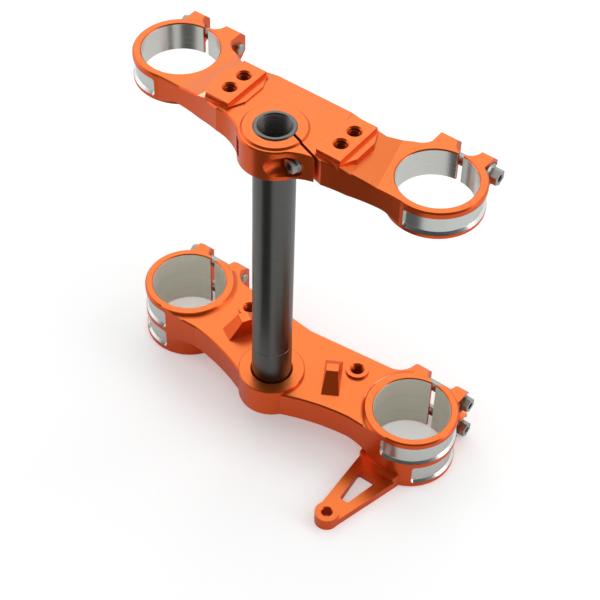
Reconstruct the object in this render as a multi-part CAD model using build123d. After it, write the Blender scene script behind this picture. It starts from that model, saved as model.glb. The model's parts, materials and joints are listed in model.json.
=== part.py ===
from build123d import *
import os
from math import asin, copysign, cos, hypot, radians, sin, sqrt

# A motorcycle triple clamp: two machined clamps joined by the steering stem, with their pinch screws.
# The origin lies on the steering axis, at the bearing seat on top of the lower clamp. +Z runs up the
# stem, +Y points from the stem to the fork tubes, and X runs across the motorcycle. Sizes are in mm.

# Fork tubes and the two clamps
fork_spacing = 210.0
fork_offset = 31.8
clamp_rise = 229.6
upper_bore_radius = 27.0
lower_bore_radius = 28.5
fork_slot_width = 4.2
bore_chamfer = 0.8
cut_margin = 2.0

# An edge runs along an axis when its direction has more than this share of it
axis_share = 0.9

# Steering stem
stem_radius = 14.65
stem_fit_gap = 0.05
stem_seat_radius = 14.85
stem_seat_height = 29.5
stem_top_above_upper_rings = 9.5
stem_inner_radius = 10.4
stem_thread_radius = 11.2
stem_thread_depth = 28.0
stem_thread_mouth_radius = 12.1
stem_edge_chamfer = 0.7
stem_foot_groove = 1.0

# Upper clamp: fork rings
upper_ring_wall = 6.0
upper_ring_height = 22.7
ring_edge_chamfer = 1.0
upper_band_top = -4.5
upper_band_bottom = -19.3
band_depth = 2.0
band_corner_radius = 2.5
band_start_angle = -96.0
band_end_angle = 40.0

# Upper clamp: bridge and hub
upper_bridge_thickness = 15.3
upper_relief_height = 3.1
upper_hub_bottom = -16.5
upper_plateau_height = 7.3
upper_bridge_front = 43.5
upper_bridge_front_end = 58.0
upper_crease_x = 76.0
upper_crease_turn = -14.6
upper_rise_length = 38.0
upper_hub_radius = 25.0
upper_boss_radius = 21.5
upper_boss_height = 8.6
underside_blend = 6.0
lug_x = 42.0
lug_y = -8.6
upper_waist_x = 60.0
upper_waist_y = -3.4
upper_hollow_x = 29.0
upper_hollow_y = -10.4
upper_hub_meet_x = 20.0

# Upper clamp: flank between bridge front and ear, measured from a fork axis
upper_flank_start_x = 31.0
upper_flank_start_y = 20.6
upper_flank_middle_x = 24.7
upper_flank_middle_y = 24.7
upper_flank_end_y = 32.2

# Upper clamp: pinch ears, measured from a fork axis
upper_ear_inner = 22.1
upper_ear_outer = 18.5
upper_ear_front = 43.2
upper_ear_chamfer = 5.0
upper_notch_radius = 9.2
upper_notch_y = 38.2

# Handlebar pads
pad_height = 11.2
pad_step_height = 8.4
pad_inner_x = 35.5
pad_width = 18.8
pad_rear_y = -3.8
pad_length = 41.0
pad_step_width = 5.6
pad_corner_run = 11.0
pad_end_ledge = 1.2
pad_wedge_reach = 8.0
pad_wedge_rise = 1.8
bar_hole_x = 44.9
bar_hole_rear_y = 9.97
bar_hole_spacing = 15.0
bar_hole_radius = 4.25
bar_hole_mouth = 5.4

# Stem pinch slot and its screw
pinch_turn = -20.0
pinch_slot_width = 2.0
pinch_slot_offset = 5.84
pinch_screw_reach = 24.3
pinch_screw_z = -5.3
pinch_seat_depth = 1.0
pinch_pocket_radius = 8.3
pinch_thread_length = 22.0
pinch_head_length = 6.2
pinch_flange_radius = 6.3
side_pocket_angle = -129.0
side_pocket_depth = 3.0
side_pocket_width = 6.5
side_pocket_top = 5.0
side_pocket_bottom = -11.8

# Lower clamp: fork rings
lower_ring_wall = 6.0
lower_ring_height = 49.5
lower_band_tops = (-5.0, -27.0)
lower_band_height = 18.0
bracket_band_start_angle = -52.5

# Lower clamp: bridge and hub
lower_bridge_top = -2.8
lower_bridge_bottom = -25.0
lower_bridge_front = 50.3
lower_hub_radius = 24.8
lower_hub_chamfer = 0.6
ring_foot_width = 4.5
lower_underside_blend = 12.0
lower_waist_x = 72.0
lower_waist_y = -1.7
lower_hollow_x = 46.0
lower_hollow_y = -6.2
lower_hub_meet_x = 19.5

# Lower clamp: flank between bridge front and ear, measured from a fork axis
lower_flank_start_x = 37.0
lower_flank_start_y = 25.4
lower_flank_middle_x = 27.5
lower_flank_middle_y = 30.1
lower_flank_end_y = 38.2

# Lower clamp: pinch ears, measured from a fork axis
lower_ear_top = -4.5
lower_ear_inner = 23.9
lower_ear_outer = 22.2
lower_ear_outer_root = 30.2
lower_ear_front = 45.4
lower_ear_chamfer = 4.7
lower_notch_radius = 12.0
lower_notch_y = 42.2
lower_ear_waist_top = -22.5
lower_ear_waist_bottom = -33.5
lower_ear_waist_depth = 6.0

# Steering stops: raised blocks with a leaning rear face
stop_x = 48.9
stop_y = 6.8
stop_turn = 30.2
stop_foot_half_width = 6.65
stop_top_half_width = 4.5
stop_length = 34.0
stop_height = 13.8
stop_lean = 12.0
stop_top_length = 7.0

# Threaded holes in front of the stops
boss_hole_x = 50.8
boss_hole_y = 38.9
boss_hole_radius = 4.25
boss_hole_mouth = 5.5
boss_hole_depth = 20.0
boss_collar_radius = 8.7
boss_collar_top = -0.8

# Bracket under the right fork ring
bracket_top = -43.0
bracket_tip_x = 94.4
bracket_tip_y = -57.3
bracket_tip_radius = 8.9
bracket_tip_top = -39.0
bracket_hole_radius = 3.75
bracket_hole_mouth = 4.4
bracket_root_left = 82.2
bracket_root_right = 117.8
bracket_root_y = -1.0
bracket_ledge_radius = 38.5
bracket_ledge_top = -37.0
window_rear_y = -39.5
window_front_y = -10.8
window_rear_width = 7.0
window_front_width = 16.0
window_rear_x = 96.8
window_front_x = 98.2
window_corner_radius = 2.0

# Flanged pinch screws
screw_radius = 4.0
screw_hole_gap = 0.3
thread_gap = 0.05
screw_head_length = 8.7
screw_head_flats = 10.0
screw_flange_radius = 7.3
screw_flange_rim = 1.2
screw_flange_height = 2.6
screw_socket_flats = 5.0
screw_socket_depth = 4.5
screw_end_chamfer = 0.8
screw_spot_radius = 8.2
upper_screw_y = 35.2
upper_screw_seat = 17.3
upper_screw_end = 25.0
lower_screw_y = 38.1
lower_screw_seat = 18.8
lower_screw_end = 25.4
lower_screw_depth = 13.5
lower_screw_pitch = 28.5

fork_x = fork_spacing / 2
upper_ring_radius = upper_bore_radius + upper_ring_wall
lower_ring_radius = lower_bore_radius + lower_ring_wall
upper_screw_z = -upper_ring_height / 2
lower_screw_heights = (-lower_screw_depth, -lower_screw_depth - lower_screw_pitch)
stem_top = clamp_rise + stem_top_above_upper_rings
hub_bore_radius = stem_radius + stem_fit_gap


def prism(outline, bottom, top):
    """A closed plan outline raised between two heights."""
    return extrude(Plane.XY.offset(bottom) * make_face(outline), top - bottom)


def drum(x, y, radius, bottom, top):
    """An upright cylinder between two heights."""
    return Pos(x, y, (bottom + top) / 2) * Cylinder(radius, top - bottom)


def rod(start, direction, radius, length):
    """A cylinder that starts at a point and runs along a direction."""
    plane = Plane(origin=start, z_dir=direction)
    return plane * Cylinder(radius, length, align=(Align.CENTER, Align.CENTER, Align.MIN))


def turned(x, y, section, arc=360.0, start=0.0):
    """A (radius, height) section turned about an upright axis, from a start angle."""
    outline = Polyline(*[(r, 0, z) for r, z in section], close=True)
    return Pos(x, y, 0) * Rot(0, 0, start) * revolve(make_face(outline), Axis.Z, arc)


def both_sides(shape):
    """A shape of the right side with its mirror image on the left."""
    return shape + mirror(shape, about=Plane.YZ)


def ring_blank(radius, bottom):
    """A fork ring without its bore, with broken outer edges."""
    c = ring_edge_chamfer
    section = [(0, bottom), (radius - c, bottom), (radius, bottom + c), (radius, -c), (radius - c, 0), (0, 0)]
    return turned(fork_x, fork_offset, section)


def ring_bore(radius, bottom):
    """The cutter for a fork bore with a broken edge at both mouths."""
    wide = radius + bore_chamfer + cut_margin
    section = [
        (0, bottom - cut_margin),
        (wide, bottom - cut_margin),
        (radius, bottom + bore_chamfer),
        (radius, -bore_chamfer),
        (wide, cut_margin),
        (0, cut_margin),
    ]
    return turned(fork_x, fork_offset, section)


def ring_band(radius, top, bottom, start, end):
    """The cutter for a milled band: a flat floor, a sloping lower lip and ends with round corners."""
    floor = radius - band_depth
    out = radius + cut_margin
    section = [(floor, top), (out, top), (out, bottom - cut_margin), (floor, bottom + band_depth)]
    cutter = turned(fork_x, fork_offset, section, end - start, start)
    straight = cutter.edges().filter_by(GeomType.LINE)
    corners = [edge for edge in straight if abs((edge % 0.5).Z) < axis_share]
    return fillet(corners, band_corner_radius)


def concave_foot(radius, width, level, end):
    """A hollow foot about a fork ring, level at its outer edge and ending on the ring at another height."""
    rise = end - level
    arc_radius = (width**2 + rise**2) / (2 * abs(rise))
    half_turn = asin(width / arc_radius) / 2
    middle_r = radius + width - arc_radius * sin(half_turn)
    middle_z = level + copysign(arc_radius * (1 - cos(half_turn)), rise)
    root = level - rise
    section = [
        Line((radius - width, 0, root), (radius + width, 0, root)),
        Line((radius + width, 0, root), (radius + width, 0, level)),
        ThreePointArc((radius + width, 0, level), (middle_r, 0, middle_z), (radius, 0, end)),
        Line((radius, 0, end), (radius - width, 0, end)),
        Line((radius - width, 0, end), (radius - width, 0, root)),
    ]
    return Pos(fork_x, fork_offset, 0) * revolve(make_face(section), Axis.Z, 360)


def rim_edges(bridge, lowest, ring_radius, hub_radius):
    """The top edges of a bridge that stay in view, without those that run into the ring and the hub."""
    rim = []
    for edge in bridge.edges():
        middle = edge @ 0.5
        from_fork = hypot(middle.X - fork_x, middle.Y - fork_offset)
        from_stem = hypot(middle.X, middle.Y)
        direction = edge % 0.5
        on_top = middle.Z > lowest - cut_margin and abs(direction.Z) < axis_share
        in_view = from_fork > ring_radius and from_stem > hub_radius and abs(direction.Y) < axis_share
        if on_top and in_view:
            rim.append(edge)
    return rim


def fork_slot(bottom, top, reach):
    """The cutter for the slot that lets a fork ring close on its tube."""
    length = reach + cut_margin
    return Pos(fork_x, fork_offset + length / 2, (bottom + top) / 2) * Box(
        fork_slot_width, length, top - bottom + 2 * cut_margin
    )


def ear_side(front, chamfer_size, bottom, top):
    """The side view of a pinch ear: a block with its two front corners cut at 45 degrees."""
    face_y = fork_offset + front
    back_y = fork_offset
    c = chamfer_size
    outline = Polyline(
        (0, back_y, bottom),
        (0, face_y - c, bottom),
        (0, face_y, bottom + c),
        (0, face_y, top - c),
        (0, face_y - c, top),
        (0, back_y, top),
        close=True,
    )
    return extrude(make_face(outline), fork_spacing, dir=(1, 0, 0))


def ear_notch(notch_radius, notch_y, bottom, top):
    """The cutter between the two ears: a round-ended channel, open to the front."""
    y = fork_offset + notch_y
    left = fork_x - notch_radius
    right = fork_x + notch_radius
    open_y = y + 2 * notch_radius
    outline = [
        Line((left, open_y), (left, y)),
        ThreePointArc((left, y), (fork_x, y - notch_radius), (right, y)),
        Line((right, y), (right, open_y)),
        Line((right, open_y), (left, open_y)),
    ]
    return prism(outline, bottom - cut_margin, top + cut_margin)


def cross_screw_cut(screw_y, seat, height):
    """The cutter for a pinch screw along X: clearance, thread and the spot face for its flange."""
    y = fork_offset + screw_y
    clearance = rod((fork_x, y, height), (1, 0, 0), screw_radius + screw_hole_gap, fork_x)
    thread = rod((fork_x, y, height), (-1, 0, 0), screw_radius + thread_gap, fork_x / 2)
    spot = rod((fork_x + seat, y, height), (1, 0, 0), screw_spot_radius, fork_x / 2)
    return clearance + thread + spot


def screw(length, head_length, rim_r):
    """A flanged hexagon screw standing on its seat at z = 0, with its shank pointing down."""
    head_r = screw_head_flats / 2
    flange = turned(0, 0, [(0, 0), (rim_r, 0), (rim_r, screw_flange_rim), (head_r, screw_flange_height),
                           (0, screw_flange_height)])
    hexagon = extrude(RegularPolygon(screw_head_flats / 2, 6, major_radius=False), head_length)
    crown_r = head_length + head_r
    crown = turned(0, 0, [(0, 0), (crown_r, 0), (head_r, crown_r), (0, crown_r)])
    socket = Pos(0, 0, head_length - screw_socket_depth) * extrude(
        RegularPolygon(screw_socket_flats / 2, 6, major_radius=False), screw_socket_depth
    )
    c = screw_end_chamfer
    shank = turned(0, 0, [(0, 0), (screw_radius, 0), (screw_radius, c - length), (screw_radius - c, -length),
                          (0, -length)])
    return flange + (hexagon & crown) - socket + shank


def cross_screw(screw_y, seat, end, height, side):
    """A fork pinch screw in place, with its head outboard; side is 1 on the right, -1 on the left."""
    placed = Plane(
        origin=(side * (fork_x + seat), fork_offset + screw_y, height), x_dir=(0, 0, 1), z_dir=(side, 0, 0)
    )
    return placed * screw(seat + end, screw_head_length, screw_flange_radius)


def upper_bridge_plan():
    """The plan of the upper bridge on the right side, from the steering axis to the fork ring."""
    ring_rear = (fork_x, fork_offset - upper_ring_radius)
    ear_root = (fork_x - upper_ear_inner, fork_offset + upper_flank_end_y)
    middle = (fork_x - upper_flank_middle_x, fork_offset + upper_flank_middle_y)
    bend = (fork_x - upper_flank_start_x, fork_offset + upper_flank_start_y)
    hub_meet = (upper_hub_meet_x, -sqrt(upper_hub_radius**2 - upper_hub_meet_x**2))
    return [
        Line((0, upper_bridge_front), (upper_bridge_front_end, upper_bridge_front)),
        Line((upper_bridge_front_end, upper_bridge_front), bend),
        ThreePointArc(bend, middle, ear_root),
        Line(ear_root, (fork_x, fork_offset)),
        Line((fork_x, fork_offset), ring_rear),
        ThreePointArc(ring_rear, (upper_waist_x, upper_waist_y), (lug_x, lug_y)),
        ThreePointArc((lug_x, lug_y), (upper_hollow_x, upper_hollow_y), hub_meet),
        Line(hub_meet, (0, hub_meet[1])),
        Line((0, hub_meet[1]), (0, upper_bridge_front)),
    ]


def upper_bridge():
    """The bridge: level over the hub, then sloping down to a crease beside the rings, with broken edges.
    Its underside rises to a ridge line below the lug."""
    under = -upper_bridge_thickness
    relief = Polyline((upper_hub_meet_x, 0, under), (lug_x, 0, under + upper_relief_height),
                      (upper_waist_x, 0, under), close=True)
    blank = prism(upper_bridge_plan(), under, upper_plateau_height)
    blank -= extrude(make_face(relief), fork_spacing / 2, both=True)
    high = upper_plateau_height + cut_margin
    slope = Polyline(
        (-upper_rise_length, 0, upper_plateau_height),
        (0, 0, 0),
        (fork_x, 0, 0),
        (fork_x, 0, high),
        (-upper_rise_length, 0, high),
        close=True,
    )
    cutter = extrude(make_face(slope), fork_spacing / 2, both=True)
    body = blank - Pos(upper_crease_x, fork_offset / 2, 0) * Rot(0, 0, -upper_crease_turn) * cutter
    return chamfer(rim_edges(body, 0, upper_ring_radius, upper_hub_radius), ring_edge_chamfer)


def upper_ears():
    """Both pinch ears of the right upper ring, before slot and screw hole."""
    inner = fork_x - upper_ear_inner
    outer = fork_x + upper_ear_outer
    front = fork_offset + upper_ear_front
    plan = Polyline((inner, fork_offset), (inner, front), (outer, front), (outer, fork_offset), close=True)
    blank = prism(plan, -upper_ring_height, 0)
    return blank & ear_side(upper_ear_front, upper_ear_chamfer, -upper_ring_height, 0)


def handlebar_pad():
    """The right handlebar pad: a low step with six sides under a straight-sided block."""
    left = pad_inner_x
    right = pad_inner_x + pad_width
    rear = pad_rear_y
    front = pad_rear_y + pad_length
    block = prism(Polyline((left, rear), (right, rear), (right, front), (left, front), close=True),
                  0, pad_height)
    step_rear = rear - pad_end_ledge
    step_front = front + pad_end_ledge
    step = Polyline(
        (left, step_rear),
        (right, step_rear),
        (right + pad_step_width, rear + pad_corner_run),
        (right + pad_step_width, front - pad_corner_run),
        (right, step_front),
        (left, step_front),
        (left - pad_step_width, front - pad_corner_run),
        (left - pad_step_width, rear + pad_corner_run),
        close=True,
    )
    return block + prism(step, 0, pad_step_height)


def slope_height(x, y):
    """The height of the sloping top of the bridge above a point."""
    across = (x - upper_crease_x) * cos(radians(upper_crease_turn))
    along = (y - fork_offset / 2) * sin(radians(upper_crease_turn))
    return (along - across) * upper_plateau_height / upper_rise_length


def pad_wedge():
    """The low wedge in the rear outer corner cut of the right pad, highest at the pad."""
    x = pad_inner_x + pad_width
    y = pad_rear_y - pad_end_ledge
    bend = (x + pad_step_width, pad_rear_y + pad_corner_run)
    tip = (x + pad_wedge_reach, y)
    high = Vector(x, y, slope_height(x, y) + pad_wedge_rise)
    to_bend = Vector(*bend, slope_height(*bend)) - high
    to_tip = Vector(*tip, slope_height(*tip)) - high
    blank = prism(Polyline((x, y), bend, tip, close=True), 0, pad_height)
    above = Plane(origin=high, x_dir=to_tip, z_dir=to_tip.cross(to_bend))
    size = 4 * pad_length
    return blank - above * Box(size, size, size, align=(Align.CENTER, Align.CENTER, Align.MIN))


def threaded_hole(x, y, radius, mouth, top, depth):
    """The cutter for a tapped hole with a countersunk mouth."""
    run = mouth - radius
    section = [
        (0, top - depth),
        (radius, top - depth),
        (radius, top - run),
        (mouth + cut_margin, top + cut_margin),
        (0, top + cut_margin),
    ]
    return turned(x, y, section)


def pinch_frame():
    """The plane of the stem pinch screw: its origin is the seat, and z points back to its head."""
    along = (cos(radians(pinch_turn)), sin(radians(pinch_turn)))
    across = (-along[1], along[0])
    x = pinch_screw_reach * along[0] + pinch_seat_depth * across[0]
    y = pinch_screw_reach * along[1] + pinch_seat_depth * across[1]
    return Plane(origin=(x, y, pinch_screw_z), x_dir=(0, 0, 1), z_dir=(-across[0], -across[1], 0))


def stem_pinch_cut():
    """The cutter for the slot behind the stem, its screw hole and the pocket for the head."""
    slot_length = upper_hub_radius * 2
    height = upper_ring_height + upper_boss_height + pad_height
    slot = Rot(0, 0, pinch_turn) * Pos(slot_length / 2, pinch_slot_offset, 0) * Box(
        slot_length, pinch_slot_width, 2 * height
    )
    seat = pinch_frame()
    pocket = seat * Cylinder(pinch_pocket_radius, fork_x, align=(Align.CENTER, Align.CENTER, Align.MIN))
    hole = seat * Pos(0, 0, -pinch_thread_length) * Cylinder(
        screw_radius + thread_gap, pinch_thread_length + cut_margin, align=(Align.CENTER, Align.CENTER, Align.MIN)
    )
    return slot + pocket + hole


def side_pocket():
    """The tall shallow pocket in the hub wall on the left."""
    height = side_pocket_top - side_pocket_bottom
    plane = Plane(
        origin=(
            upper_hub_radius * cos(radians(side_pocket_angle)),
            upper_hub_radius * sin(radians(side_pocket_angle)),
            (side_pocket_top + side_pocket_bottom) / 2,
        ),
        x_dir=(0, 0, 1),
        z_dir=(cos(radians(side_pocket_angle)), sin(radians(side_pocket_angle)), 0),
    )
    return extrude(plane * SlotOverall(height, side_pocket_width), side_pocket_depth, both=True)


def upper_clamp():
    """The upper clamp, made with its ring tops at z = 0."""
    bottom = -upper_ring_height
    half = ring_blank(upper_ring_radius, bottom) + upper_ears()
    half -= ear_notch(upper_notch_radius, upper_notch_y, bottom, 0)
    half -= fork_slot(bottom, 0, upper_notch_y)
    half += upper_bridge()
    under = -upper_bridge_thickness
    blend = concave_foot(upper_ring_radius, underside_blend, under, under - underside_blend)
    half += blend & prism(upper_bridge_plan(), bottom, under)
    half += (handlebar_pad() + pad_wedge()) & prism(upper_bridge_plan(), 0, pad_height)
    half -= ring_bore(upper_bore_radius, bottom)
    half -= ring_band(upper_ring_radius, upper_band_top, upper_band_bottom, band_start_angle, band_end_angle)
    half -= cross_screw_cut(upper_screw_y, upper_screw_seat, upper_screw_z)
    for y in (bar_hole_rear_y, bar_hole_rear_y + bar_hole_spacing):
        depth = pad_height + upper_bridge_thickness + cut_margin
        half -= threaded_hole(bar_hole_x, y, bar_hole_radius, bar_hole_mouth, pad_height, depth)
    clamp = both_sides(half)
    boss_foot_radius = upper_boss_radius + upper_boss_height - upper_plateau_height
    clamp += turned(0, 0, [
        (0, upper_hub_bottom),
        (upper_hub_radius, upper_hub_bottom),
        (upper_hub_radius, upper_plateau_height - ring_edge_chamfer),
        (upper_hub_radius - ring_edge_chamfer, upper_plateau_height),
        (boss_foot_radius, upper_plateau_height),
        (upper_boss_radius, upper_boss_height),
        (0, upper_boss_height),
    ])
    clamp -= drum(0, 0, hub_bore_radius, bottom - cut_margin, upper_boss_height + cut_margin)
    clamp -= stem_pinch_cut()
    clamp -= side_pocket()
    return Pos(0, 0, clamp_rise) * clamp


def lower_bridge_plan():
    """The plan of the lower bridge on the right side, from the steering axis to the fork ring."""
    ring_rear = (fork_x, fork_offset - lower_ring_radius)
    ear_root = (fork_x - lower_ear_inner, fork_offset + lower_flank_end_y)
    middle = (fork_x - lower_flank_middle_x, fork_offset + lower_flank_middle_y)
    bend = (fork_x - lower_flank_start_x, fork_offset + lower_flank_start_y)
    waist = (lower_waist_x, lower_waist_y)
    hub_meet = (lower_hub_meet_x, -sqrt(lower_hub_radius**2 - lower_hub_meet_x**2))
    return [
        Line((0, lower_bridge_front), bend),
        ThreePointArc(bend, middle, ear_root),
        Line(ear_root, (fork_x, fork_offset)),
        Line((fork_x, fork_offset), ring_rear),
        Line(ring_rear, waist),
        ThreePointArc(waist, (lower_hollow_x, lower_hollow_y), hub_meet),
        Line(hub_meet, (0, hub_meet[1])),
        Line((0, hub_meet[1]), (0, lower_bridge_front)),
    ]


def lower_bridge():
    """The flat lower bridge on the right side, with its top edges broken."""
    body = prism(lower_bridge_plan(), lower_bridge_bottom, lower_bridge_top)
    return chamfer(rim_edges(body, lower_bridge_top, lower_ring_radius, lower_hub_radius), ring_edge_chamfer)


def lower_ears():
    """Both pinch ears of the right lower ring, with a waist between their two screws."""
    inner = fork_x - lower_ear_inner
    outer = fork_x + lower_ear_outer
    front = fork_offset + lower_ear_front
    outer_root = fork_offset + lower_ear_outer_root
    plan = Polyline((inner, fork_offset), (inner, front), (outer, front), (outer, outer_root),
                    (fork_x, fork_offset), close=True)
    bottom = -lower_ring_height
    blank = prism(plan, bottom, lower_ear_top)
    ears = blank & ear_side(lower_ear_front, lower_ear_chamfer, bottom, lower_ear_top)
    waist = Pos(outer, front, (lower_ear_waist_top + lower_ear_waist_bottom) / 2) * Box(
        2 * lower_ear_waist_depth, 4 * lower_ear_waist_depth, lower_ear_waist_top - lower_ear_waist_bottom
    )
    return ears - waist


def steering_stop():
    """The right steering stop: a drafted block that leans back to a short ridge."""
    foot_w = stop_foot_half_width
    top_w = stop_top_half_width
    foot = Polyline((-foot_w, 0, 0), (foot_w, 0, 0), (foot_w, stop_length, 0), (-foot_w, stop_length, 0),
                    close=True)
    ridge_end = stop_lean + stop_top_length
    ridge = Polyline((-top_w, stop_lean, stop_height), (top_w, stop_lean, stop_height),
                     (top_w, ridge_end, stop_height), (-top_w, ridge_end, stop_height), close=True)
    block = loft([make_face(foot), make_face(ridge)])
    return Pos(stop_x, stop_y, lower_bridge_top) * Rot(0, 0, stop_turn) * block


def bracket():
    """The bracket under the right fork ring: a tapering plate with a window and a tip eye."""
    bottom = -lower_ring_height
    plate = Polyline(
        (bracket_tip_x - bracket_tip_radius, bracket_tip_y),
        (bracket_root_left, bracket_root_y),
        (bracket_root_left, fork_offset),
        (bracket_root_right, fork_offset),
        (bracket_root_right, bracket_root_y),
        (bracket_tip_x + bracket_tip_radius, bracket_tip_y),
        close=True,
    )
    body = prism(plate, bottom, bracket_top)
    body += drum(bracket_tip_x, bracket_tip_y, bracket_tip_radius, bottom, bracket_tip_top)
    ledge = drum(fork_x, fork_offset, bracket_ledge_radius, bottom, bracket_ledge_top)
    body += ledge & prism(plate, bottom, bracket_ledge_top)
    rear = window_rear_width / 2
    front = window_front_width / 2
    window = Polyline(
        (window_rear_x - rear, window_rear_y),
        (window_rear_x + rear, window_rear_y),
        (window_front_x + front, window_front_y),
        (window_front_x - front, window_front_y),
        close=True,
    )
    opening = fillet(make_face(window).vertices(), window_corner_radius)
    body -= extrude(Plane.XY.offset(bottom - cut_margin) * opening, bracket_top - bottom + 2 * cut_margin)
    hole = threaded_hole(bracket_tip_x, bracket_tip_y, bracket_hole_radius, bracket_hole_mouth,
                         bracket_tip_top, bracket_tip_top - bottom + cut_margin)
    return body - hole


def lower_clamp():
    """The lower clamp, with the bracket on its right side only."""
    bottom = -lower_ring_height
    half = ring_blank(lower_ring_radius, bottom) + lower_ears()
    half -= ear_notch(lower_notch_radius, lower_notch_y, bottom, 0)
    half -= fork_slot(bottom, 0, lower_notch_y)
    half += lower_bridge()
    foot = concave_foot(lower_ring_radius, ring_foot_width, lower_bridge_top, 0)
    half += foot & prism(lower_bridge_plan(), lower_bridge_bottom, 0)
    blend_end = lower_bridge_bottom - lower_underside_blend
    under = concave_foot(lower_ring_radius, lower_underside_blend, lower_bridge_bottom, blend_end)
    half += under & prism(lower_bridge_plan(), bottom, lower_bridge_bottom)
    half += steering_stop()
    half += drum(boss_hole_x, boss_hole_y, boss_collar_radius, lower_bridge_bottom, boss_collar_top)
    half -= threaded_hole(boss_hole_x, boss_hole_y, boss_hole_radius, boss_hole_mouth,
                          boss_collar_top, boss_hole_depth)
    for height in lower_screw_heights:
        half -= cross_screw_cut(lower_screw_y, lower_screw_seat, height)
    top_band = (lower_band_tops[0], lower_band_tops[0] - lower_band_height)
    low_band = (lower_band_tops[1], lower_band_tops[1] - lower_band_height)
    half -= ring_band(lower_ring_radius, *top_band, band_start_angle, band_end_angle)
    low_start = ring_band(lower_ring_radius, *low_band, band_start_angle, bracket_band_start_angle)
    half -= ring_band(lower_ring_radius, *low_band, bracket_band_start_angle, band_end_angle)
    clamp = half + bracket() + mirror(half - low_start, about=Plane.YZ)
    clamp += turned(0, 0, [
        (0, lower_bridge_bottom),
        (lower_hub_radius, lower_bridge_bottom),
        (lower_hub_radius, -lower_hub_chamfer),
        (lower_hub_radius - lower_hub_chamfer, 0),
        (0, 0),
    ])
    bore = ring_bore(lower_bore_radius, bottom)
    clamp -= bore
    clamp -= mirror(bore, about=Plane.YZ)
    seat = hub_bore_radius + stem_seat_radius - stem_radius
    clamp -= turned(0, 0, [
        (0, lower_bridge_bottom - cut_margin),
        (seat, lower_bridge_bottom - cut_margin),
        (seat, -stem_foot_groove),
        (seat + stem_foot_groove + cut_margin, cut_margin),
        (0, cut_margin),
    ])
    return clamp


def steering_stem():
    """The hollow stem, pressed into the lower clamp and threaded inside at its top."""
    c = stem_edge_chamfer
    bottom = lower_bridge_bottom
    step = stem_seat_radius - stem_radius
    mouth = stem_thread_mouth_radius
    thread = stem_thread_radius
    bore = stem_inner_radius
    thread_end = stem_top - stem_thread_depth
    return turned(0, 0, [
        (bore, bottom),
        (stem_seat_radius - c, bottom),
        (stem_seat_radius, bottom + c),
        (stem_seat_radius, stem_seat_height - step),
        (stem_radius, stem_seat_height),
        (stem_radius, stem_top - c),
        (stem_radius - c, stem_top),
        (mouth, stem_top),
        (thread, stem_top - (mouth - thread)),
        (thread, thread_end),
        (bore, thread_end - (thread - bore)),
    ])


def stem_pinch_screw():
    """The screw that closes the upper clamp on the stem."""
    body = screw(pinch_thread_length - cut_margin, pinch_head_length, pinch_flange_radius)
    return Pos(0, 0, clamp_rise) * (pinch_frame() * body)


nodes = {
    "upper_clamp": upper_clamp(),
    "lower_clamp": lower_clamp(),
    "steering_stem": steering_stem(),
    "stem_pinch_screw": stem_pinch_screw(),
}
for side, name in ((-1, "left"), (1, "right")):
    upper_z = clamp_rise + upper_screw_z
    nodes["upper_fork_screw_" + name] = cross_screw(upper_screw_y, upper_screw_seat, upper_screw_end, upper_z, side)
    for height, level in zip(lower_screw_heights, ("upper", "lower")):
        nodes["lower_fork_screw_" + name + "_" + level] = cross_screw(
            lower_screw_y, lower_screw_seat, lower_screw_end, height, side
        )

os.makedirs("parts", exist_ok=True)
for name, solid in nodes.items():
    export_step(solid, "parts/" + name + ".step")
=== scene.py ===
import json
import math

import bmesh
import bpy
from mathutils import Matrix, Vector


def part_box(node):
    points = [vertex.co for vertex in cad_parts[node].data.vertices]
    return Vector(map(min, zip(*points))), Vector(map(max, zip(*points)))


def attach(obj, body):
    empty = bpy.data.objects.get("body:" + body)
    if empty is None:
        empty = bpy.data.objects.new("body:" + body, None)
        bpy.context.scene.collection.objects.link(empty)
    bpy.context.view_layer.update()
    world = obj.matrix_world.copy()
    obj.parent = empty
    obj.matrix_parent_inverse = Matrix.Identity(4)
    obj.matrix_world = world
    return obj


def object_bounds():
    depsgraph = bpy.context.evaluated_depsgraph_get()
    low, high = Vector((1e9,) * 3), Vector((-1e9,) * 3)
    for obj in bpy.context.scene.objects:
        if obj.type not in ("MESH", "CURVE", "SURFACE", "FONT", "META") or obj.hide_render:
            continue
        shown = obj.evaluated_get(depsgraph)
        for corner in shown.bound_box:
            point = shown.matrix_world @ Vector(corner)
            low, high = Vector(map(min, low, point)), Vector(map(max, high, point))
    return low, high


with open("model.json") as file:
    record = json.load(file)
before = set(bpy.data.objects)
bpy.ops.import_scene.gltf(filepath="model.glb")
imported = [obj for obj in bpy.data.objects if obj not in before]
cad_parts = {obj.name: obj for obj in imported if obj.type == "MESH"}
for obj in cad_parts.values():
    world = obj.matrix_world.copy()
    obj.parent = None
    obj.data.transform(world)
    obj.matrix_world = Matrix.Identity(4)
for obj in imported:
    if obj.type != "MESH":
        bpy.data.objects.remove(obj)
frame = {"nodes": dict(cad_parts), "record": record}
cad_box = [list(corner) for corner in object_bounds()]

bl_info = {
    "name": "Triple clamp finish",
    "version": (1, 0, 0),
    "blender": (4, 5, 0),
    "location": "View3D > Sidebar > Triple clamp",
    "description": "Anodises the clamps, cuts the threads and sets up the studio",
    "category": "Object",
}

MM = 0.001

MOUNTS = {mount["name"]: mount for mount in frame["record"]["mounts"]}

# Each clamp, and what the names of its fork bores start with.
CLAMPS = {"upper_clamp": "upper_fork_bore", "lower_clamp": "lower_fork_bore"}

# How far each band's upper and lower edges lie below the top of its ring.
UPPER_BANDS = [(4.4 * MM, 19.4 * MM)]
LOWER_BANDS = [(4.9 * MM, 23.1 * MM), (26.9 * MM, 45.1 * MM)]

# The broken rim of each fork bore, and how deep the tapped holes go.
RIM_CHAMFER = 0.8 * MM
BAR_HOLE_DEPTH = 20.4 * MM
BOSS_HOLE_DEPTH = 18 * MM

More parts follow.
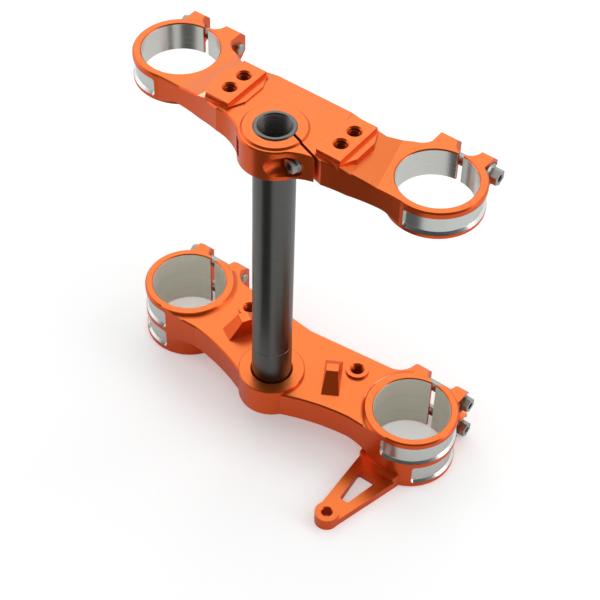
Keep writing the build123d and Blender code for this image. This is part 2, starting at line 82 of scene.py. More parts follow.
# How far up a face's normal has to point, a little and fully, for the face to take the lighter
# orange: painted light on faces that look up, painted shade on the walls.
LIT_TOP_NORMAL = (0.78, 0.97)

# The clear seal over the dye.
COAT_WEIGHT = 0.22
COAT_ROUGHNESS = 0.25

# Each lamp's name, place, width and height in metres, and power in watts.
LAMPS = [
    ("top_softbox", (-1.2, 1.4, 2.3), (2.2, 1.8), 9),
    ("back_softbox", (1.3, 1.5, 2.3), (1.2, 1.2), 5.5),
    ("left_softbox", (-2.0, -0.6, 1.2), (1.0, 1.4), 3),
    ("rim_softbox", (-2.2, 1.5, 0.40), (1.3, 0.6), 10),
    ("right_softbox", (2.1, 0.7, 0.7), (0.8, 1.4), 10),
]
LAMP_TARGET = (0, 0, 0.1)

# The floor's colour, and the glow that makes it look white.
PAPER_COLOUR = (0.955, 0.972, 0.972, 1)
PAPER_GLOW = 0.25
# The light from all round: what falls on the part, and what the camera and reflections see.
AIR_LIGHT = 0.62
AIR_SEEN = 0.97


def mount_place(name):
    return Vector(MOUNTS[name]["pos_m"])


def mount_radius(name):
    return MOUNTS[name]["dims"]["r_mm"] * MM


def ring_radius(node):
    """The outer radius of a clamp's fork rings."""
    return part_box(node)[1][0] - mount_place(CLAMPS[node] + "_right").x


def ring_top(node):
    """The height of the top face of a clamp's fork rings."""
    bore = MOUNTS[CLAMPS[node] + "_right"]
    return bore["pos_m"][2] + bore["dims"]["length_mm"] * MM / 2 + RIM_CHAMFER


class AnodisedSettings(bpy.types.PropertyGroup):
    """The dyed and sealed surface of both clamps."""

    # Painted light and shade: the level faces take this lighter orange and the walls the darker
    # one, lit and shaded copies of one dye.
    colour: bpy.props.FloatVectorProperty(
        name="Orange", description="Colour of the dyed faces that were milled flat",
        subtype="COLOR", size=3, min=0, max=1, default=(0.72, 0.158, 0.028),
    )
    shaded_wall_colour: bpy.props.FloatVectorProperty(
        name="Deep orange", description="Colour of the dyed walls, where the dye lies thicker",
        subtype="COLOR", size=3, min=0, max=1, default=(0.80, 0.098, 0.008),
    )
    # Painted shade: a darker orange for the tapped holes and their threads, where shade falls.
    hole_shade_colour: bpy.props.FloatVectorProperty(
        name="Holes", description="Colour of the dyed threads in the tapped holes",
        subtype="COLOR", size=3, min=0, max=1, default=(0.58, 0.062, 0.008),
    )
    roughness: bpy.props.FloatProperty(
        name="Roughness", description="Roughness of the anodised surface",
        subtype="FACTOR", min=0, max=1, default=0.30,
    )
    metal: bpy.props.FloatProperty(
        name="Metal", description="How much of the metal shows through the dye",
        subtype="FACTOR", min=0, max=1, default=0.85,
    )
    edge_radius: bpy.props.FloatProperty(
        name="Broken edge", description="Radius of the broken edges",
        subtype="DISTANCE", min=0, default=0.25 * MM, precision=5,
    )


class MachinedSettings(bpy.types.PropertyGroup):
    """The surfaces that were cut after the anodising, and the plain metal pieces."""

    bore_colour: bpy.props.FloatVectorProperty(
        name="Upper bores", description="Colour of the bare upper bores",
        subtype="COLOR", size=3, min=0, max=1, default=(0.79, 0.80, 0.75),
    )
    lower_bore_colour: bpy.props.FloatVectorProperty(
        name="Lower bores", description="Colour of the blasted lower bores",
        subtype="COLOR", size=3, min=0, max=1, default=(0.95, 0.94, 0.85),
    )
    band_colour: bpy.props.FloatVectorProperty(
        name="Bands", description="Colour of the bands cut round the rings",
        subtype="COLOR", size=3, min=0, max=1, default=(0.74, 0.77, 0.74),
    )
    stem_colour: bpy.props.FloatVectorProperty(
        name="Stem", description="Colour of the steering stem",
        subtype="COLOR", size=3, min=0, max=1, default=(0.145, 0.148, 0.142),
    )
    # Painted shade: the wall inside the stem's threaded mouth is painted nearly black.
    stem_mouth_shade_colour: bpy.props.FloatVectorProperty(
        name="Stem thread", description="Colour inside the stem's threaded mouth",
        subtype="COLOR", size=3, min=0, max=1, default=(0.028, 0.023, 0.022),
    )
    screw_colour: bpy.props.FloatVectorProperty(
        name="Screws", description="Colour of the zinc plated screws",
        subtype="COLOR", size=3, min=0, max=1, default=(0.42, 0.45, 0.41),
    )
    band_roughness: bpy.props.FloatProperty(
        name="Band roughness", description="Roughness of the bands round the rings",
        subtype="FACTOR", min=0, max=1, default=0.27,
    )
    band_depth: bpy.props.FloatProperty(
        name="Band depth", description="Depth of the bands round the rings",
        subtype="DISTANCE", min=0, default=2 * MM, precision=5,
    )


class ThreadSettings(bpy.types.PropertyGroup):
    """The threads cut in the stem and the clamps."""

    stem_pitch: bpy.props.FloatProperty(
        name="Stem pitch", description="Pitch of the thread in the stem's top",
        subtype="DISTANCE", min=0.1 * MM, default=1.75 * MM, precision=5,
    )
    hole_pitch: bpy.props.FloatProperty(
        name="Hole pitch", description="Pitch of the threads in the clamps",
        subtype="DISTANCE", min=0.1 * MM, default=1.9 * MM, precision=5,
    )
    ridge: bpy.props.FloatProperty(
        name="Stem ridge", description="Height of the stem thread's ridge over its pitch",
        subtype="FACTOR", min=0, max=1, default=0.42,
    )
    hole_ridge: bpy.props.FloatProperty(
        name="Hole ridge", description="Height of a hole thread's ridge over its pitch",
        subtype="FACTOR", min=0, max=1, default=0.42,
    )


class StudioSettings(bpy.types.PropertyGroup):
    """The camera, the lamps and the floor."""

    azimuth: bpy.props.FloatProperty(
        name="Azimuth", description="Turn of the camera about the steering axis",
        subtype="ANGLE", default=math.radians(35.43),
    )
    elevation: bpy.props.FloatProperty(
        name="Elevation", description="Height of the camera over the floor, as an angle",
        subtype="ANGLE", default=math.radians(47.03),
    )
    roll: bpy.props.FloatProperty(
        name="Roll", description="Turn of the picture",
        subtype="ANGLE", default=math.radians(1.81),
    )
    distance: bpy.props.FloatProperty(
        name="Distance", description="Distance from the camera to the part",
        subtype="DISTANCE", default=1.26685,
    )
    aim_right: bpy.props.FloatProperty(
        name="Aim right", description="How far right of the steering axis the camera aims",
        subtype="DISTANCE", default=0.02115, precision=5,
    )
    aim_up: bpy.props.FloatProperty(
        name="Aim up", description="How far up the picture from the origin the camera aims",
        subtype="DISTANCE", default=0.05038, precision=5,
    )
    lens: bpy.props.FloatProperty(
        name="Lens", description="Focal length in millimetres, on a 36 mm sensor",
        default=102.0,
    )
    # The wedge is a painted dark reflection, seen only by shiny faces.
    wedge_start: bpy.props.FloatProperty(
        name="Wedge start",
        description="Where the black wedge on the floor starts, left of the camera",
        subtype="ANGLE", default=math.radians(10),
    )
    wedge_end: bpy.props.FloatProperty(
        name="Wedge end",
        description="Where the black wedge on the floor ends, left of the camera",
        subtype="ANGLE", default=math.radians(63),
    )


def link(tree, source, target):
    tree.links.new(source, target)


def add_node(tree, kind, **settings):
    node = tree.nodes.new(kind)
    for name, value in settings.items():
        setattr(node, name, value)
    return node


def feed(tree, target, value):
    """Sets a socket to a plain value, or links another node's output to it."""
    if isinstance(value, bpy.types.NodeSocket):
        link(tree, value, target)
    else:
        target.default_value = value


def maths(tree, operation, *values, clamp=False):
    node = add_node(tree, "ShaderNodeMath", operation=operation, use_clamp=clamp)
    for socket, value in zip(node.inputs, values):
        feed(tree, socket, value)
    return node.outputs[0]


def blend_colours(tree, share, first, second):
    node = add_node(tree, "ShaderNodeMix", data_type="RGBA")
    feed(tree, node.inputs["Factor"], share)
    feed(tree, node.inputs[6], first)
    feed(tree, node.inputs[7], second)
    return node.outputs[2]


def blend_values(tree, share, first, second):
    node = add_node(tree, "ShaderNodeMix", data_type="FLOAT")
    feed(tree, node.inputs["Factor"], share)
    feed(tree, node.inputs[2], first)
    feed(tree, node.inputs[3], second)
    return node.outputs[0]


def smooth_step(tree, value, low, high):
    node = add_node(tree, "ShaderNodeMapRange", interpolation_type="SMOOTHSTEP")
    feed(tree, node.inputs["Value"], value)
    feed(tree, node.inputs["From Min"], low)
    feed(tree, node.inputs["From Max"], high)
    return node.outputs["Result"]


def noise(tree, vector, scale, detail=2.0, roughness=0.5):
    node = add_node(tree, "ShaderNodeTexNoise")
    link(tree, vector, node.inputs["Vector"])
    feed(tree, node.inputs["Scale"], scale)
    node.inputs["Detail"].default_value = detail
    node.inputs["Roughness"].default_value = roughness
    return node.outputs["Fac"]


def stretched(tree, vector, scale):
    node = add_node(tree, "ShaderNodeMapping")
    link(tree, vector, node.inputs["Vector"])
    node.inputs["Scale"].default_value = scale
    return node.outputs["Vector"]


def shaded(colour, factor=1.0):
    """A colour for a socket, made darker or lighter by a factor."""
    return (*[min(1.0, part * factor) for part in colour], 1)


def object_place(tree):
    return add_node(tree, "ShaderNodeTexCoord").outputs["Object"]


def new_group(name, inputs, outputs):
    """A shader node group with float, vector or colour sockets."""
    group = bpy.data.node_groups.new(name, "ShaderNodeTree")
    for socket, kind, default in inputs:
        made = group.interface.new_socket(socket, in_out="INPUT",
                                          socket_type="NodeSocket" + kind)
        if default is not None:
            made.default_value = default
    for socket, kind in outputs:
        group.interface.new_socket(socket, in_out="OUTPUT",
                                   socket_type="NodeSocket" + kind)
    start = group.nodes.new("NodeGroupInput")
    end = group.nodes.new("NodeGroupOutput")
    return group, start.outputs, end.inputs


def place_group(tree, group, **values):
    node = add_node(tree, "ShaderNodeGroup", node_tree=group)
    for name, value in values.items():
        feed(tree, node.inputs[name.replace("_", " ")], value)
    return node.outputs


def round_wall_group():
    """Marks the walls of two upright cylinders, one on each side of the middle plane."""
    group, start, end = new_group(
        "round_wall",
        [("Place", "Vector", None), ("Across", "Float", 0.0), ("Along", "Float", 0.0),
         ("Radius", "Float", 0.03), ("Bottom", "Float", -1.0), ("Top", "Float", 1.0),
         ("Slack", "Float", 0.0003)],
        [("Mask", "Float")],
    )
    place = add_node(group, "ShaderNodeSeparateXYZ")
    link(group, start["Place"], place.inputs[0])
    outward = maths(group, "ABSOLUTE", place.outputs["X"])
    across = maths(group, "SUBTRACT", outward, start["Across"])
    along = maths(group, "SUBTRACT", place.outputs["Y"], start["Along"])
    squares = maths(group, "ADD", maths(group, "MULTIPLY", across, across),
                    maths(group, "MULTIPLY", along, along))
    radius = maths(group, "SQRT", squares)
    near = maths(group, "COMPARE", radius, start["Radius"], start["Slack"])
    above = maths(group, "GREATER_THAN", place.outputs["Z"], start["Bottom"])
    below = maths(group, "LESS_THAN", place.outputs["Z"], start["Top"])
    level = maths(group, "MULTIPLY", above, below)
    link(group, maths(group, "MULTIPLY", near, level), end["Mask"])
    return group


def turning_marks_group():
    """Fine rings left by a boring bar, which change along Z only."""
    group, start, end = new_group(
        "turning_marks",
        [("Place", "Vector", None), ("Marks per metre", "Float", 2500.0)],
        [("Height", "Float"), ("Shade", "Float")],
    )
    squeezed = stretched(group, start["Place"], (0.02, 0.02, 1.0))
    link(group, noise(group, squeezed, start["Marks per metre"], 3.0, 0.7), end["Height"])
    slow = maths(group, "MULTIPLY", start["Marks per metre"], 0.18)
    link(group, noise(group, squeezed, slow, 1.0), end["Shade"])
    return group


def satin_grain_group():
    """The fine grain of a blasted and anodised face, with slow drifts in its depth."""
    group, start, end = new_group(
        "satin_grain",
        [("Place", "Vector", None), ("Grain per metre", "Float", 6000.0)],
        [("Height", "Float"), ("Drift", "Float")],
    )
    link(group, noise(group, start["Place"], start["Grain per metre"], 2.0, 0.6), end["Height"])
    link(group, noise(group, start["Place"], 26.0, 3.0, 0.55), end["Drift"])
    return group


def broken_edge_group():
    """Rounds the shading at sharp edges and marks where it does."""
    group, start, end = new_group(
        "broken_edge",
        [],
        [("Normal", "Vector"), ("Mask", "Float")],
    )
    rounded = add_node(group, "ShaderNodeBevel", samples=6)
    rounded.inputs["Radius"].default_value = bpy.context.scene.anodised.edge_radius
    surface = add_node(group, "ShaderNodeNewGeometry")
    agree = add_node(group, "ShaderNodeVectorMath", operation="DOT_PRODUCT")
    link(group, rounded.outputs["Normal"], agree.inputs[0])
    link(group, surface.outputs["Normal"], agree.inputs[1])
    link(group, rounded.outputs["Normal"], end["Normal"])
    link(group, smooth_step(group, agree.outputs["Value"], 0.995, 0.80), end["Mask"])
    return group


GROUP_MAKERS = {
    "round_wall": round_wall_group,
    "turning_marks": turning_marks_group,
    "satin_grain": satin_grain_group,
    "broken_edge": broken_edge_group,
}


def group_named(name):
    return bpy.data.node_groups.get(name) or GROUP_MAKERS[name]()


def new_material(name):
    material = bpy.data.materials.new(name)
    material.use_nodes = True
    tree = material.node_tree
    tree.nodes.clear()
    shader = add_node(tree, "ShaderNodeBsdfPrincipled")
    output = add_node(tree, "ShaderNodeOutputMaterial")
    link(tree, shader.outputs["BSDF"], output.inputs["Surface"])
    return material, tree, shader


def dress(node, material):
    """Gives a CAD node its finish."""
    for slot in frame["nodes"][node].material_slots:
        slot.material = material


def add_up(tree, masks):
    """One mask from several."""
    total = masks[0]
    for mask in masks[1:]:
        total = maths(tree, "ADD", total, mask, clamp=True)
    return total


def bump(tree, height, strength, distance, normal=None):
    node = add_node(tree, "ShaderNodeBump")
    node.inputs["Strength"].default_value = strength
    node.inputs["Distance"].default_value = distance
    feed(tree, node.inputs["Height"], height)
    if normal is not None:
        link(tree, normal, node.inputs["Normal"])
    return node.outputs["Normal"]


def wall_mask(tree, place, centre, radius, top, bottom, slack):
    wall = place_group(tree, group_named("round_wall"), Place=place, Across=abs(centre.x),
                       Along=centre.y, Radius=radius, Bottom=bottom, Top=top, Slack=slack)
    return wall["Mask"]


def bore_mask(tree, place, node):
    """The two walls that grip the fork tubes."""
    mount = CLAMPS[node] + "_right"
    centre = mount_place(mount)
    half = MOUNTS[mount]["dims"]["length_mm"] * MM / 2 + 0.1 * MM
    return wall_mask(tree, place, centre, mount_radius(mount),
                     centre.z + half, centre.z - half, slack=0.25 * MM)


def band_mask(tree, place, node, bands):
    """The floors of the bands cut round the rings."""
    depth = bpy.context.scene.machined.band_depth
    centre = mount_place(CLAMPS[node] + "_right")
    radius = ring_radius(node) - depth / 2 - 0.2 * MM
    rim = ring_top(node)
    cuts = [
        wall_mask(tree, place, centre, radius, rim - top, rim - bottom, slack=depth / 2)
        for top, bottom in bands
    ]
    return add_up(tree, cuts)


def hole_mask(tree, place, holes):
    """The walls of the tapped holes, each given by its place, radius, top and bottom."""
    return add_up(tree, [wall_mask(tree, place, *hole, slack=0.3 * MM) for hole in holes])


def bar_holes():
    """The tapped holes of the handlebar pads on one side: place, radius, top and bottom."""
    dims = MOUNTS["handlebar_mount_holes"]["dims"]
    middle = mount_place("handlebar_mount_holes")
    x, y = dims["spacing_x_mm"] * MM / 2, dims["spacing_y_mm"] * MM / 2
    radius = dims["hole_r_mm"] * MM
    return [
        (middle + Vector((x, along, 0)), radius, middle.z, middle.z - BAR_HOLE_DEPTH)
        for along in (-y, y)
    ]


def boss_holes():
    """The tapped hole of the collar on one side of the lower clamp."""
    dims = MOUNTS["lower_boss_holes"]["dims"]
    middle = mount_place("lower_boss_holes")
    place = middle + Vector((dims["spacing_x_mm"] * MM / 2, 0, 0))
    return [(place, dims["hole_r_mm"] * MM, middle.z, middle.z - BOSS_HOLE_DEPTH)]


def clamp_finish(node, bands, holes, bore_colour, bore_roughness, bore_metal):
    """Orange anodising, with painted light on level faces and painted shade on walls, and the
    bores and bands cut to bare metal.
    """
    dye = bpy.context.scene.anodised
    machined = bpy.context.scene.machined
    material, tree, shader = new_material(node + "_anodised")
    place = object_place(tree)
    grain = place_group(tree, group_named("satin_grain"), Place=place)
    marks = place_group(tree, group_named("turning_marks"), Place=place)
    edge = place_group(tree, group_named("broken_edge"))
    bores = bore_mask(tree, place, node)
    cuts = band_mask(tree, place, node, bands)
    tapped = hole_mask(tree, place, holes)

    facing = add_node(tree, "ShaderNodeSeparateXYZ")
    link(tree, add_node(tree, "ShaderNodeNewGeometry").outputs["Normal"], facing.inputs[0])
    # Painted light and shade: faces that look up take the lighter orange, walls the darker one,
    # with a slow random drift mixed in.
    flat = smooth_step(tree, facing.outputs["Z"], *LIT_TOP_NORMAL)
    lit_top_and_drift = maths(tree, "SUBTRACT", maths(tree, "MULTIPLY", flat, 1.15),
                 maths(tree, "MULTIPLY", grain["Drift"], 0.3), clamp=True)
    orange = blend_colours(tree, lit_top_and_drift, shaded(dye.shaded_wall_colour), shaded(dye.colour))
    bore = blend_colours(tree, marks["Shade"], shaded(bore_colour, 0.86), shaded(bore_colour))
    # Painted shade: the walls of the tapped holes take three tenths of the hole colour.
    orange = blend_colours(tree, tapped, orange, shaded(dye.hole_shade_colour, 0.3))
    colour = blend_colours(tree, cuts, orange, shaded(machined.band_colour))
    link(tree, blend_colours(tree, bores, colour, bore), shader.inputs["Base Color"])

    satin = blend_values(tree, grain["Drift"], dye.roughness + 0.05, dye.roughness - 0.05)
    roughness = blend_values(tree, cuts, satin, machined.band_roughness)
    turned = blend_values(tree, marks["Shade"], bore_roughness - 0.05, bore_roughness + 0.05)
    link(tree, blend_values(tree, bores, roughness, turned), shader.inputs["Roughness"])

    metal = blend_values(tree, cuts, dye.metal, 1.0)
    link(tree, blend_values(tree, bores, metal, bore_metal), shader.inputs["Metallic"])

    surface = bump(tree, grain["Height"], strength=0.10, distance=0.05 * MM, normal=edge["Normal"])
    bored = maths(tree, "MULTIPLY", marks["Height"], bores)
    surface = bump(tree, bored, strength=0.25, distance=0.03 * MM, normal=surface)
    link(tree, surface, shader.inputs["Normal"])
    shader.inputs["Coat Roughness"].default_value = COAT_ROUGHNESS
    bare = maths(tree, "ADD", bores, cuts, clamp=True)
    link(tree, blend_values(tree, bare, COAT_WEIGHT, 0.0), shader.inputs["Coat Weight"])
    return material


def turned_metal(name, colour, roughness, marks_per_metre, edge_light, inside=None):
    """A turned metal with fine rings along Z, with painted highlight on its edges, and painted
    shade on a wall inside where one is given.
    """
    material, tree, shader = new_material(name)
    place = object_place(tree)
    marks = place_group(tree, group_named("turning_marks"), Place=place,
                        Marks_per_metre=marks_per_metre)
    edge = place_group(tree, group_named("broken_edge"))
    shade = blend_colours(tree, marks["Shade"], shaded(colour, 0.88), shaded(colour))
    # Painted highlight: the broken edges are lightened by the edge light factor.
    shade = blend_colours(tree, edge["Mask"], shade, shaded(colour, 1 + edge_light))
    if inside:
        wall, inner_shade = inside
        shade = blend_colours(tree, wall_mask(tree, place, *wall), shade, shaded(inner_shade))
    link(tree, shade, shader.inputs["Base Color"])
    link(tree, blend_values(tree, marks["Shade"], roughness - 0.04, roughness + 0.04),
         shader.inputs["Roughness"])
    shader.inputs["Metallic"].default_value = 1.0
    surface = bump(tree, marks["Height"], strength=0.2, distance=0.02 * MM, normal=edge["Normal"])
    link(tree, surface, shader.inputs["Normal"])
    return material


def make_object(name, bm, material):
    """An object at the origin, with the mesh of a bmesh and one material."""
    mesh = bpy.data.meshes.new(name)
    bm.to_mesh(mesh)
    bm.free()
    mesh.materials.append(material)
    made = bpy.data.objects.new(name, mesh)
    bpy.context.scene.collection.objects.link(made)
    return made


def new_piece(name, bm, material):
    """A piece of the part, with the slot that it takes its finish from."""
    bmesh.ops.recalc_face_normals(bm, faces=bm.faces)
    piece = make_object(name, bm, material)
    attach(piece, "root")


def thread_coil(bm, centre, radius, pitch, ridge, top, bottom, sides):
    """A ridge that winds down a round hole from top to bottom, as a tap leaves it."""
    sunk_in_wall = 0.05 * MM
    half = pitch * 0.44
    wall = centre.x + radius + sunk_in_wall
    crest = centre.x + radius - pitch * ridge
    profile = [
        bm.verts.new((wall, centre.y, bottom)),
        bm.verts.new((crest, centre.y, bottom + half)),
        bm.verts.new((wall, centre.y, bottom + 2 * half)),
    ]
    edges = [bm.edges.new((profile[i], profile[(i + 1) % 3])) for i in range(3)]
    turns = (top - bottom - 2 * half) / pitch
    made = bmesh.ops.spin(
        bm, geom=profile + edges, cent=centre, axis=(0, 0, 1), dvec=(0, 0, pitch / sides),
        angle=2 * math.pi * turns, steps=int(turns * sides), use_merge=False, use_duplicate=False,
    )
    last = [item for item in made["geom_last"] if isinstance(item, bmesh.types.BMEdge)]
    bmesh.ops.contextual_create(bm, geom=edges)
    bmesh.ops.contextual_create(bm, geom=last)


def thread_finish(name, colour, metal):
    """A cut thread: its sharp crests keep their own edges, so only fine grain breaks its shine."""
    material, tree, shader = new_material(name)
    grain = place_group(tree, group_named("satin_grain"), Place=object_place(tree))
    shade = blend_colours(tree, grain["Drift"], shaded(colour, 0.8), shaded(colour))
    link(tree, shade, shader.inputs["Base Color"])
    link(tree, blend_values(tree, grain["Drift"], 0.24, 0.34), shader.inputs["Roughness"])
    surface = bump(tree, grain["Height"], strength=0.10, distance=0.05 * MM)
    link(tree, surface, shader.inputs["Normal"])
    shader.inputs["Metallic"].default_value = metal
    return material


def tap_holes(name, holes, pitch, ridge, material):
    """The threads of all the holes of one clamp, on both sides, as one piece."""
    bm = bmesh.new()
    for centre, radius, top, bottom in holes:
        for side in (-1, 1):
            place = Vector((side * centre.x, centre.y, 0))
            thread_coil(bm, place, radius, pitch, ridge, top, bottom, sides=28)
    new_piece(name, bm, material)


class ClampOperator(bpy.types.Operator):
    """Anodise both clamps and leave their bores and bands bare"""

    bl_idname = "clamp.anodise_clamps"
    bl_label = "Anodise the clamps"

    def execute(self, context):
        machined = context.scene.machined
        upper = clamp_finish(
            "upper_clamp", bands=UPPER_BANDS, holes=bar_holes(),
            bore_colour=machined.bore_colour, bore_roughness=0.24, bore_metal=1.0,
        )
        lower = clamp_finish(
            "lower_clamp", bands=LOWER_BANDS, holes=boss_holes(),
            bore_colour=machined.lower_bore_colour, bore_roughness=0.48, bore_metal=0.75,
        )
        dress("upper_clamp", upper)
        dress("lower_clamp", lower)
        return {"FINISHED"}


class StemOperator(bpy.types.Operator):
    """Give the steering stem its dark turned finish"""

    bl_idname = "clamp.turn_stem"
    bl_label = "Turn the stem"

    def execute(self, context):
        machined = context.scene.machined
        low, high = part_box("steering_stem")
        thread = mount_radius("stem_top_thread")
        # The wall of the stem's threaded mouth, which takes the painted shade.
        bore = (Vector((0, 0, 0)), thread, high[2] - 1 * MM, low[2], 2 * MM)
        dark = turned_metal(
            "stem_dark_turned", machined.stem_colour, 0.30, marks_per_metre=1600.0, edge_light=1.2,
            inside=(bore, machined.stem_mouth_shade_colour),
        )
        dress("steering_stem", dark)
        return {"FINISHED"}


class ScrewOperator(bpy.types.Operator):
    """Zinc plate the clamping screws"""

    bl_idname = "clamp.plate_screws"
    bl_label = "Plate the screws"

    def execute(self, context):
        zinc = turned_metal("screw_zinc_plated", context.scene.machined.screw_colour, 0.38,
                            marks_per_metre=3000.0, edge_light=0.5)
        for node in frame["nodes"]:
            if node.endswith("_screw") or "_fork_screw" in node:
                dress(node, zinc)
        return {"FINISHED"}


class ThreadOperator(bpy.types.Operator):
    """Cut the threads in the stem's top, the handlebar holes and the boss holes"""

    bl_idname = "clamp.cut_threads"
    bl_label = "Cut the threads"

    def execute(self, context):
        threads = context.scene.threads
        stem = MOUNTS["stem_top_thread"]
        place = mount_place("stem_top_thread")
        half = stem["dims"]["length_mm"] * MM / 2
        bm = bmesh.new()
        thread_coil(bm, place, mount_radius("stem_top_thread"), threads.stem_pitch, threads.ridge,
                    place.z + half, place.z - half, sides=72)
        # The stem thread's own colour, five times the painted shade of the mouth's wall.
        crest = [5.0 * part for part in context.scene.machined.stem_mouth_shade_colour]
        new_piece("stem_thread", bm, thread_finish("stem_thread_cut", crest, 0.3))
        dye = context.scene.anodised
        # Painted shade: the threads in the holes take the darker hole colour.
        dyed = thread_finish("thread_anodised", dye.hole_shade_colour, dye.metal)
        tap_holes("bar_hole_threads", bar_holes(), threads.hole_pitch, threads.hole_ridge, dyed)
        tap_holes("boss_hole_threads", boss_holes(), threads.hole_pitch, threads.hole_ridge, dyed)
        return {"FINISHED"}


class StudioOperator(bpy.types.Operator):
    """Set up the floor, the lamps and the camera"""

    bl_idname = "clamp.set_studio"
    bl_label = "Set the studio"

    def execute(self, context):
        lay_floor()
        hang_lamps()
        light_world()
        hang_camera_card(place_camera(context.scene.studio))
        lay_wedge_card(context.scene.studio)
        lay_grey_card()
        return {"FINISHED"}


def stage_piece(name, bm, material):
    piece = make_object(name, bm, material)
    return piece


def seen_rays(tree):
    """One for the rays that show the stage itself, and nothing for those that light the part."""
    rays = add_node(tree, "ShaderNodeLightPath")
    seen = maths(tree, "MAXIMUM", rays.outputs["Is Camera Ray"], rays.outputs["Is Glossy Ray"])
    return maths(tree, "MAXIMUM", seen, rays.outputs["Is Transmission Ray"])


def floor_paper():
    """White paper that takes the shadow and looks evenly bright to the camera."""
    material, tree, shader = new_material("floor_paper")
    shader.inputs["Base Color"].default_value = PAPER_COLOUR
    shader.inputs["Roughness"].default_value = 1.0
    shader.inputs["Specular IOR Level"].default_value = 0.0
    shader.inputs["Emission Color"].default_value = (1, 1, 1, 1)
    glow = maths(tree, "MULTIPLY", seen_rays(tree), PAPER_GLOW)
    link(tree, glow, shader.inputs["Emission Strength"])
    return material


def lay_floor():
    bm = bmesh.new()
    bmesh.ops.create_grid(bm, x_segments=1, y_segments=1, size=6)
    bmesh.ops.translate(bm, verts=bm.verts, vec=(0, 0, cad_box[0][2]))
    stage_piece("floor", bm, floor_paper())


def reflection_shade_card(name, bm, shade):
    """A dark sheet that only the object's shiny faces see: a painted dark reflection, unseen by
    the camera and casting no shadow.
    """
    material, tree, shader = new_material(name + "_painted_reflection")
    shader.inputs["Base Color"].default_value = (shade, shade, shade, 1)
    shader.inputs["Roughness"].default_value = 1.0
    card = stage_piece(name, bm, material)
    card.visible_camera = False
    card.visible_diffuse = False
    card.visible_shadow = False


def lay_wedge_card(studio):
    """A black wedge just over the floor, from under the stem towards the camera's left, seen only
    in reflections as a painted dark reflection.
    """
    bm = bmesh.new()
    height = cad_box[0][2] + 1 * MM
    reach = 1.6
    near = bm.verts.new((0, -0.10, height))
    far = bm.verts.new((0, -reach, height))
    side = bm.edges.new((near, far))
    bmesh.ops.rotate(bm, verts=[near, far], cent=(0, 0, 0),
                     matrix=Matrix.Rotation(studio.azimuth - studio.wedge_end, 3, "Z"))
    bmesh.ops.spin(bm, geom=[near, far, side], cent=(0, 0, 0), axis=(0, 0, 1),
                   angle=studio.wedge_end - studio.wedge_start, steps=12)
    bmesh.ops.remove_doubles(bm, verts=bm.verts, dist=0.01 * MM)
    reflection_shade_card("wedge_card", bm, shade=0.09)


def lay_grey_card():
    """A grey sheet just over the floor under the black wedge, all round the object, seen only in
    reflections as painted shade in them.
    """
    bm = bmesh.new()
    bmesh.ops.create_circle(bm, cap_ends=True, segments=48, radius=1.4)
    bmesh.ops.translate(bm, verts=bm.verts, vec=(0, 0, cad_box[0][2] + 0.5 * MM))
    reflection_shade_card("grey_card", bm, shade=0.84)


def hang_camera_card(camera):
    """A black sheet round the camera, seen only in reflections, which paints dark reflections on
    the faces that look at it.
    """
    bm = bmesh.new()
    bmesh.ops.create_grid(bm, x_segments=1, y_segments=1, size=0.75)
    bmesh.ops.scale(bm, verts=bm.verts, vec=(3.6, 1, 1))
    bmesh.ops.transform(bm, verts=bm.verts, matrix=camera.matrix_world)
    reflection_shade_card("camera_card", bm, shade=0.06)


def hang_lamps():
    for name, place, size, power in LAMPS:
        data = bpy.data.lights.new(name, "AREA")
        data.shape = "RECTANGLE"
        data.size, data.size_y = size
        data.energy = power
        lamp = bpy.data.objects.new(name, data)
        bpy.context.scene.collection.objects.link(lamp)
        lamp.location = place
        aim = Vector(LAMP_TARGET) - Vector(place)
        lamp.rotation_euler = aim.to_track_quat("-Z", "Y").to_euler()


def light_world():
    """Even light from all round, which looks white to the camera and in reflections."""
    world = bpy.data.worlds.new("studio_air")
    bpy.context.scene.world = world
    world.use_nodes = True
    tree = world.node_tree
    tree.nodes.clear()
    plain = add_node(tree, "ShaderNodeBackground")
    plain.inputs["Color"].default_value = (1, 1, 1, 1)
    strength = blend_values(tree, seen_rays(tree), AIR_LIGHT, AIR_SEEN)
    link(tree, strength, plain.inputs["Strength"])
    output = add_node(tree, "ShaderNodeOutputWorld")
    link(tree, plain.outputs[0], output.inputs["Surface"])


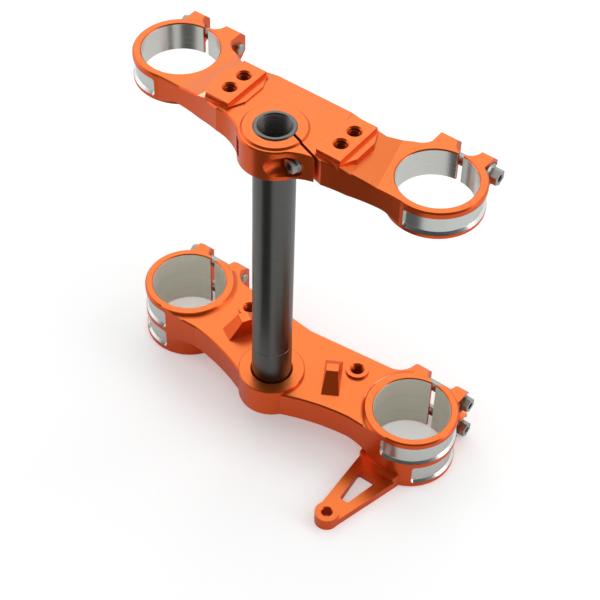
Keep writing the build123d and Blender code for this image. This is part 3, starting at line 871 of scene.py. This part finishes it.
def place_camera(studio):
    """Looks at a point beside the steering axis from the photograph's side."""
    turn, rise, roll = studio.azimuth, studio.elevation, studio.roll
    away = math.cos(rise)
    back = Vector((math.sin(turn) * away, -math.cos(turn) * away, math.sin(rise)))
    level = Vector((math.cos(turn), math.sin(turn), 0))
    upright = back.cross(level)
    right = level * math.cos(roll) + upright * math.sin(roll)
    up = upright * math.cos(roll) - level * math.sin(roll)
    data = bpy.data.cameras.new("camera")
    data.sensor_width = 36
    data.lens = studio.lens
    data.clip_start = 0.05
    camera = bpy.data.objects.new("camera", data)
    bpy.context.scene.collection.objects.link(camera)
    facing = Matrix((right, up, back)).transposed().to_4x4()
    place = right * studio.aim_right + up * studio.aim_up + back * studio.distance
    camera.matrix_world = Matrix.Translation(place) @ facing
    bpy.context.scene.camera = camera
    bpy.context.view_layer.update()
    return camera


class ClampPanel(bpy.types.Panel):
    """The steps that dress the triple clamp"""

    bl_label = "Triple clamp"
    bl_idname = "VIEW3D_PT_triple_clamp"
    bl_space_type = "VIEW_3D"
    bl_region_type = "UI"
    bl_category = "Triple clamp"

    def draw(self, context):
        for operator in OPERATORS:
            self.layout.operator(operator.bl_idname)
        for name in SETTINGS:
            box = self.layout.box()
            box.label(text=name.capitalize())
            settings = getattr(context.scene, name)
            for key in settings.__annotations__:
                box.prop(settings, key)


SETTINGS = {
    "anodised": AnodisedSettings,
    "machined": MachinedSettings,
    "threads": ThreadSettings,
    "studio": StudioSettings,
}
OPERATORS = [ClampOperator, StemOperator, ScrewOperator, ThreadOperator, StudioOperator]


def register():
    for name, settings in SETTINGS.items():
        bpy.utils.register_class(settings)
        setattr(bpy.types.Scene, name, bpy.props.PointerProperty(type=settings))
    for shown in [*OPERATORS, ClampPanel]:
        bpy.utils.register_class(shown)


def unregister():
    for shown in [ClampPanel, *reversed(OPERATORS)]:
        bpy.utils.unregister_class(shown)
    for name, settings in reversed(SETTINGS.items()):
        delattr(bpy.types.Scene, name)
        bpy.utils.unregister_class(settings)


def main():
    register()
    bpy.context.scene.view_settings.view_transform = "Standard"
    bpy.ops.clamp.anodise_clamps()
    bpy.ops.clamp.turn_stem()
    bpy.ops.clamp.plate_screws()
    bpy.ops.clamp.cut_threads()
    bpy.ops.clamp.set_studio()


if __name__ == "__main__":
    main()
